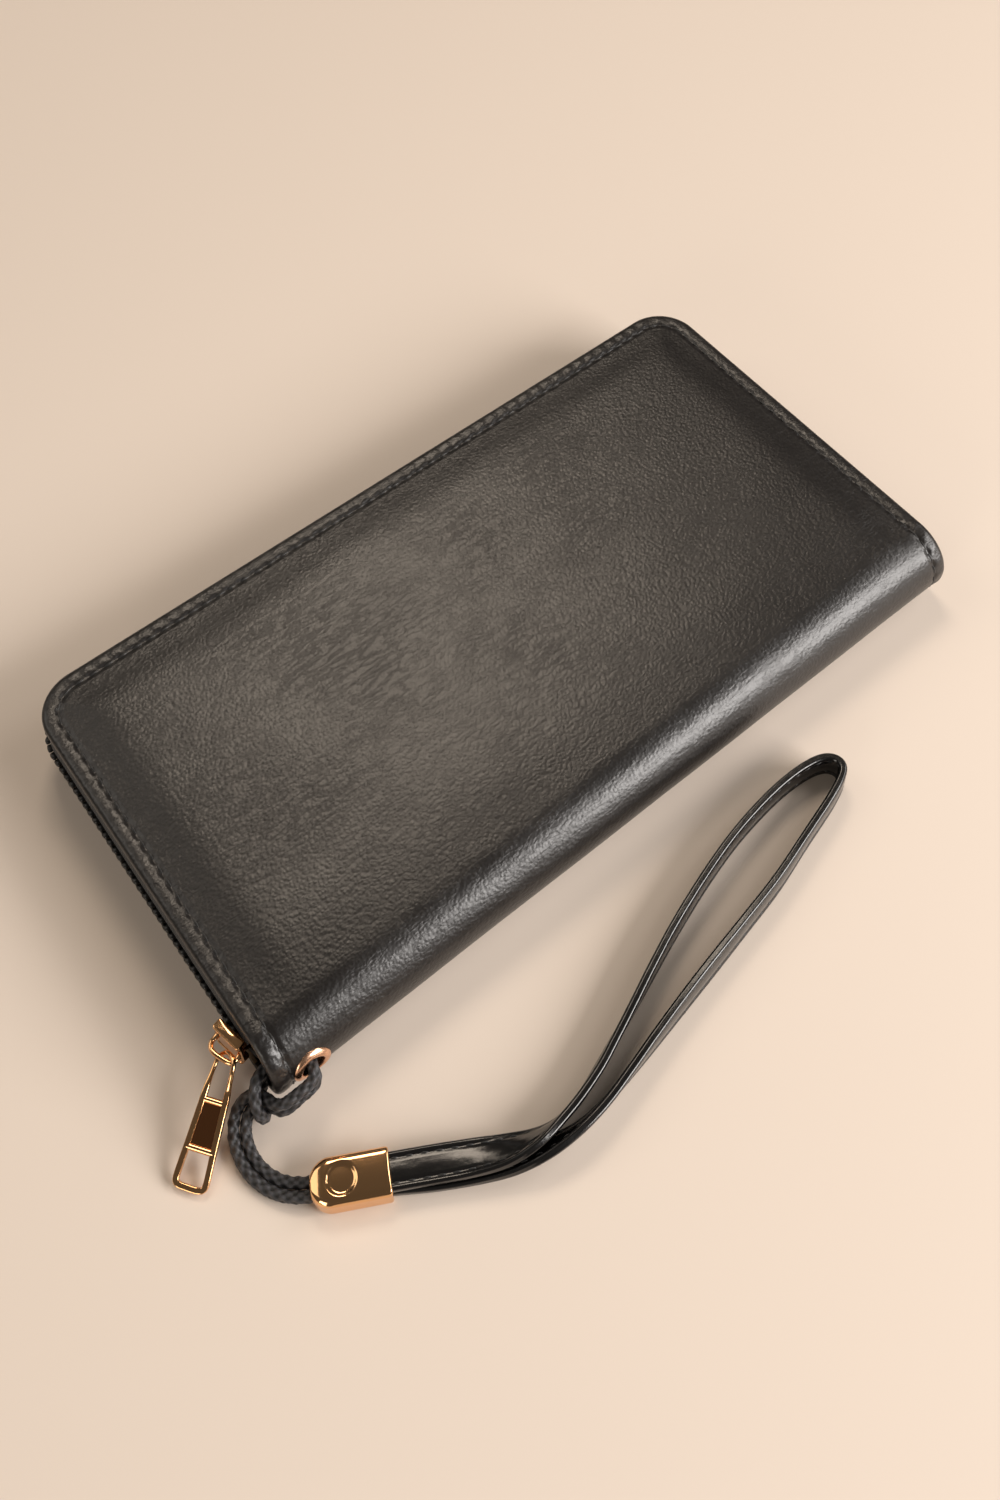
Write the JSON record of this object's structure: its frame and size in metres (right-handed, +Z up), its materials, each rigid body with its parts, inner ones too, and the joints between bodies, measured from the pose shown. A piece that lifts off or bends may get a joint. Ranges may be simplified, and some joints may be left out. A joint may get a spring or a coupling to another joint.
{
  "type": "wristlet wallet",
  "caption": "Zip-around long wallet of black leather with a rounded spine, inner card leaves, zip slider with pull tab, and a cord-and-strap wrist loop through a metal eyelet",
  "frame": {"origin": "middle of the flat bottom face of the back cover, on which the closed wallet lies", "axes": "+X along the wallet's length, the zip pull at the -X end; +Y from the rounded spine to the far zip side; +Z up, out of the front cover"},
  "size_m": [0.2215, 0.1474, 0.02],
  "materials": {
    "wallet_leather": "semi-gloss, fine creased grain",
    "strap_leather": "glossy, folded edges with black stitching",
    "board": "plain grey board",
    "lining": "fine woven black lining",
    "zip_tape": "black herringbone tape",
    "zip_teeth": "black coil",
    "rose_gold": "polished light rose-gold plate",
    "eyelet_metal": "satin light copper-gold plate",
    "cord": "black waxed braided cotton"
  },
  "bodies": {
    "back_half": {"back_cover": "wallet_leather", "spine_cover": "wallet_leather", "back_board": "board", "back_lining": "lining", "back_card_leaf_1": "lining", "back_card_leaf_2": "lining", "back_zip_tape": "zip_tape", "back_teeth": "zip_teeth", "back_left_stop": "zip_teeth", "back_right_stop": "zip_teeth", "zip_end_tab": "wallet_leather", "left_gusset": "lining", "right_gusset": "lining", "eyelet": "eyelet_metal", "eyelet_washer": "eyelet_metal", "wrist_cord": "cord"},
    "front_half": {"front_cover": "wallet_leather", "front_board": "board", "front_lining": "lining", "front_card_leaf_1": "lining", "front_card_leaf_2": "lining", "front_zip_tape": "zip_tape", "front_teeth": "zip_teeth", "front_left_stop": "zip_teeth", "front_right_stop": "zip_teeth"},
    "divider": {"divider_back_leaf": "lining", "divider_front_leaf": "lining"},
    "zip_slider": {"slider_body": "rose_gold", "slider_bridge": "rose_gold"},
    "zip_pull": {"pull_tab": "rose_gold"},
    "wrist_strap": {"end_cap": "rose_gold", "strap": "strap_leather"}
  },
  "joints": [
    {"name": "cover_open", "type": "hinge", "parent": "back_half", "child": "front_half", "pos_m": [0, -0.04985, 0.01785], "axis": [1, 0, 0], "range_deg": [0, 90], "deforming": ["left_gusset", "right_gusset"]},
    {"name": "divider_swing", "type": "hinge", "parent": "back_half", "child": "divider", "pos_m": [0, -0.04985, 0.01785], "axis": [1, 0, 0], "range_deg": [0, 45]},
    {"name": "slider_slide", "type": "slide", "parent": "back_half", "child": "zip_slider", "axis": [0, 1, 0], "range_m": [0, 0.072]},
    {"name": "pull_swing", "type": "hinge", "parent": "zip_slider", "child": "zip_pull", "pos_m": [-0.10222, -0.04036, 0.01], "axis": [-0.5835, 0.8121, 0], "range_deg": [0, 50]},
    {"name": "strap_swing", "type": "hinge", "parent": "back_half", "child": "wrist_strap", "pos_m": [-0.1, -0.049, 0.004], "axis": [0, 0, 1], "range_deg": [-40, 4], "deforming": ["wrist_cord"]}
  ],
  "couplings": [
    {"joint": "divider_swing", "follows": "cover_open", "ratio": 0.5}
  ]
}
